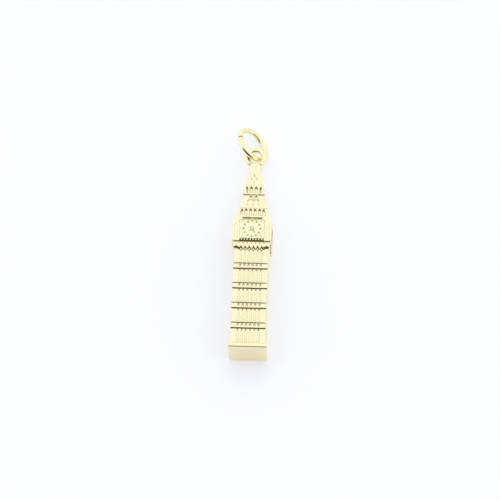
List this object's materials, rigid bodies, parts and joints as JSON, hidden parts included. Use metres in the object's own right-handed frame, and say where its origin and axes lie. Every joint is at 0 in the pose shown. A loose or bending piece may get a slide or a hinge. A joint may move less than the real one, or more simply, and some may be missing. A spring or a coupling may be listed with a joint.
{
  "type": "clock tower charm",
  "caption": "Cast metal charm in the form of a square Gothic clock tower, lying on its back, with a hanging loop and a split jump ring on its spire.",
  "frame": {"origin": "middle of the overall length and width, on the plane that the charm lies on", "axes": "+Y from the tower's foot to its spire, +X across the front to the right, +Z out of the front clock face, away from the surface it lies on"},
  "size_m": [0.0064, 0.0396, 0.0064],
  "materials": {
    "gold_cast": "polished gold plating on a fine cast relief",
    "gold_wire": "bright gold-plated drawn wire"
  },
  "bodies": {
    "tower": {"base_plinth": "gold_cast", "shaft_stage_1": "gold_cast", "shaft_stage_2": "gold_cast", "shaft_stage_3": "gold_cast", "shaft_stage_4": "gold_cast", "shaft_stage_5": "gold_cast", "string_course_1": "gold_cast", "string_course_2": "gold_cast", "string_course_3": "gold_cast", "string_course_4": "gold_cast", "corbel_table": "gold_cast", "clock_stage": "gold_cast", "clock_panel_front": "gold_cast", "clock_panel_right": "gold_cast", "clock_panel_back": "gold_cast", "clock_panel_left": "gold_cast", "shoulder_slope": "gold_cast", "belfry": "gold_cast", "lower_roof": "gold_cast", "lantern_ledge": "gold_cast", "lantern": "gold_cast", "spire_roof": "gold_cast", "spire_neck": "gold_cast", "loop_collar": "gold_cast", "hanging_loop": "gold_wire"},
    "jump_ring": {"jump_ring": "gold_wire"}
  },
  "joints": [
    {"name": "ring_swing", "type": "hinge", "parent": "tower", "child": "jump_ring", "pos_m": [0, 0.01406, 0.00318], "axis": [0, 0, 1], "range_deg": [-95, 60]}
  ]
}
